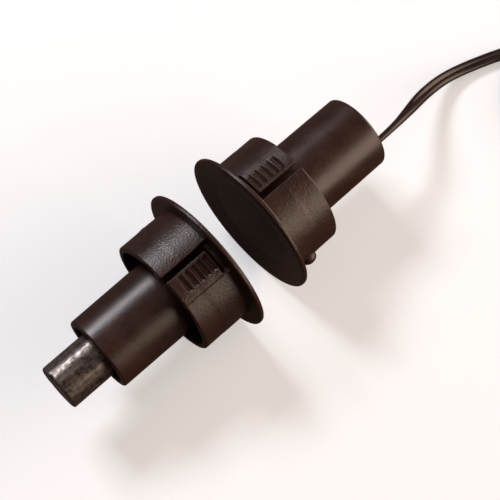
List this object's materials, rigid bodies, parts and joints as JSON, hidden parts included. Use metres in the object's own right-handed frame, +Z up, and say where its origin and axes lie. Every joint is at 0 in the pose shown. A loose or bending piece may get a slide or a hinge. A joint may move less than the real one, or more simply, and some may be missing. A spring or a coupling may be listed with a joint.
{
  "type": "recessed door contact sensor",
  "caption": "Recessed magnetic door contact: a reed-switch half with a flat lead and a magnet half, each with a dished flange, slotted collar and barrel.",
  "frame": {"origin": "on the common axis of the two halves, in the seat plane of the switch half (the rear face of its flange)", "axes": "+X along the axis towards the rear of the switch half, its barrel and lead; the magnet half lies towards -X; +Z up, with the floor under the two flange rims"},
  "size_m": [0.1434, 0.0546, 0.0318],
  "materials": {
    "housing_plastic": "satin moulded",
    "cast_magnet": "ground cast metal, dull with bright streaks",
    "hot_glue": "smooth",
    "reed_glass": "clear greenish",
    "nickel_iron": "plated",
    "silicone": "soft translucent",
    "foam_rubber": "matte",
    "potting": "poured resin, slightly glossy",
    "wire_cover": "thin insulation",
    "tinned_metal": "tinned",
    "copper": "drawn",
    "lead_cover": "satin PVC",
    "tie_plastic": "satin"
  },
  "bodies": {
    "switch_half": {"switch_housing": "housing_plastic", "front_reed_lead": "nickel_iron", "rear_reed_lead": "nickel_iron", "reed_glass": "reed_glass", "reed_sleeve": "silicone", "front_cushion": "foam_rubber", "rear_potting": "potting", "return_wire": "wire_cover", "axis_ferrule": "tinned_metal", "return_ferrule": "tinned_metal", "axis_core": "copper", "return_core": "copper", "upper_insulation": "lead_cover", "lower_insulation": "lead_cover", "lead_cord": "lead_cover", "lead_coil": "lead_cover", "cord_tie": "tie_plastic", "upper_tail": "lead_cover", "upper_tail_tip": "tinned_metal", "lower_tail": "lead_cover", "lower_tail_tip": "tinned_metal"},
    "magnet_half": {"magnet_housing": "housing_plastic", "magnet_rod": "cast_magnet", "magnet_glue": "hot_glue"},
    "switch_tab_1": {"switch_locking_tab_1": "housing_plastic"},
    "switch_tab_2": {"switch_locking_tab_2": "housing_plastic"},
    "magnet_tab_1": {"magnet_locking_tab_1": "housing_plastic"},
    "magnet_tab_2": {"magnet_locking_tab_2": "housing_plastic"},
    "front_blade": {"front_reed_blade": "nickel_iron"},
    "rear_blade": {"rear_reed_blade": "nickel_iron"}
  },
  "joints": [
    {"name": "magnet_slide", "type": "slide", "parent": "switch_half", "child": "magnet_half", "axis": [-1, 0, 0], "range_m": [-0.0075, 0.04]},
    {"name": "switch_tab_1_flex", "type": "hinge", "parent": "switch_half", "child": "switch_tab_1", "pos_m": [0.006, 0.00495, 0.01164], "axis": [1, 0, 0], "range_deg": [0, 4], "stiffness_Nm_per_rad": 0.002},
    {"name": "switch_tab_2_flex", "type": "hinge", "parent": "switch_half", "child": "switch_tab_2", "pos_m": [0.006, -0.00495, -0.01164], "axis": [1, 0, 0], "range_deg": [0, 4], "stiffness_Nm_per_rad": 0.002},
    {"name": "magnet_tab_1_flex", "type": "hinge", "parent": "magnet_half", "child": "magnet_tab_1", "pos_m": [-0.0185, -0.00736, 0.01029], "axis": [-1, 0, 0], "range_deg": [0, 4], "stiffness_Nm_per_rad": 0.002},
    {"name": "magnet_tab_2_flex", "type": "hinge", "parent": "magnet_half", "child": "magnet_tab_2", "pos_m": [-0.0185, 0.00736, -0.01029], "axis": [-1, 0, 0], "range_deg": [0, 4], "stiffness_Nm_per_rad": 0.002},
    {"name": "front_blade_flex", "type": "hinge", "parent": "switch_half", "child": "front_blade", "pos_m": [0.00645, 0.00012, 0], "axis": [0, 0, -1], "range_deg": [0, 0.45], "stiffness_Nm_per_rad": 0.0001},
    {"name": "rear_blade_flex", "type": "hinge", "parent": "switch_half", "child": "rear_blade", "pos_m": [0.01555, -0.00012, 0], "axis": [0, 0, -1], "range_deg": [0, 0.45], "stiffness_Nm_per_rad": 0.0001}
  ],
  "couplings": [
    {"joint": "rear_blade_flex", "follows": "front_blade_flex", "ratio": 1}
  ]
}
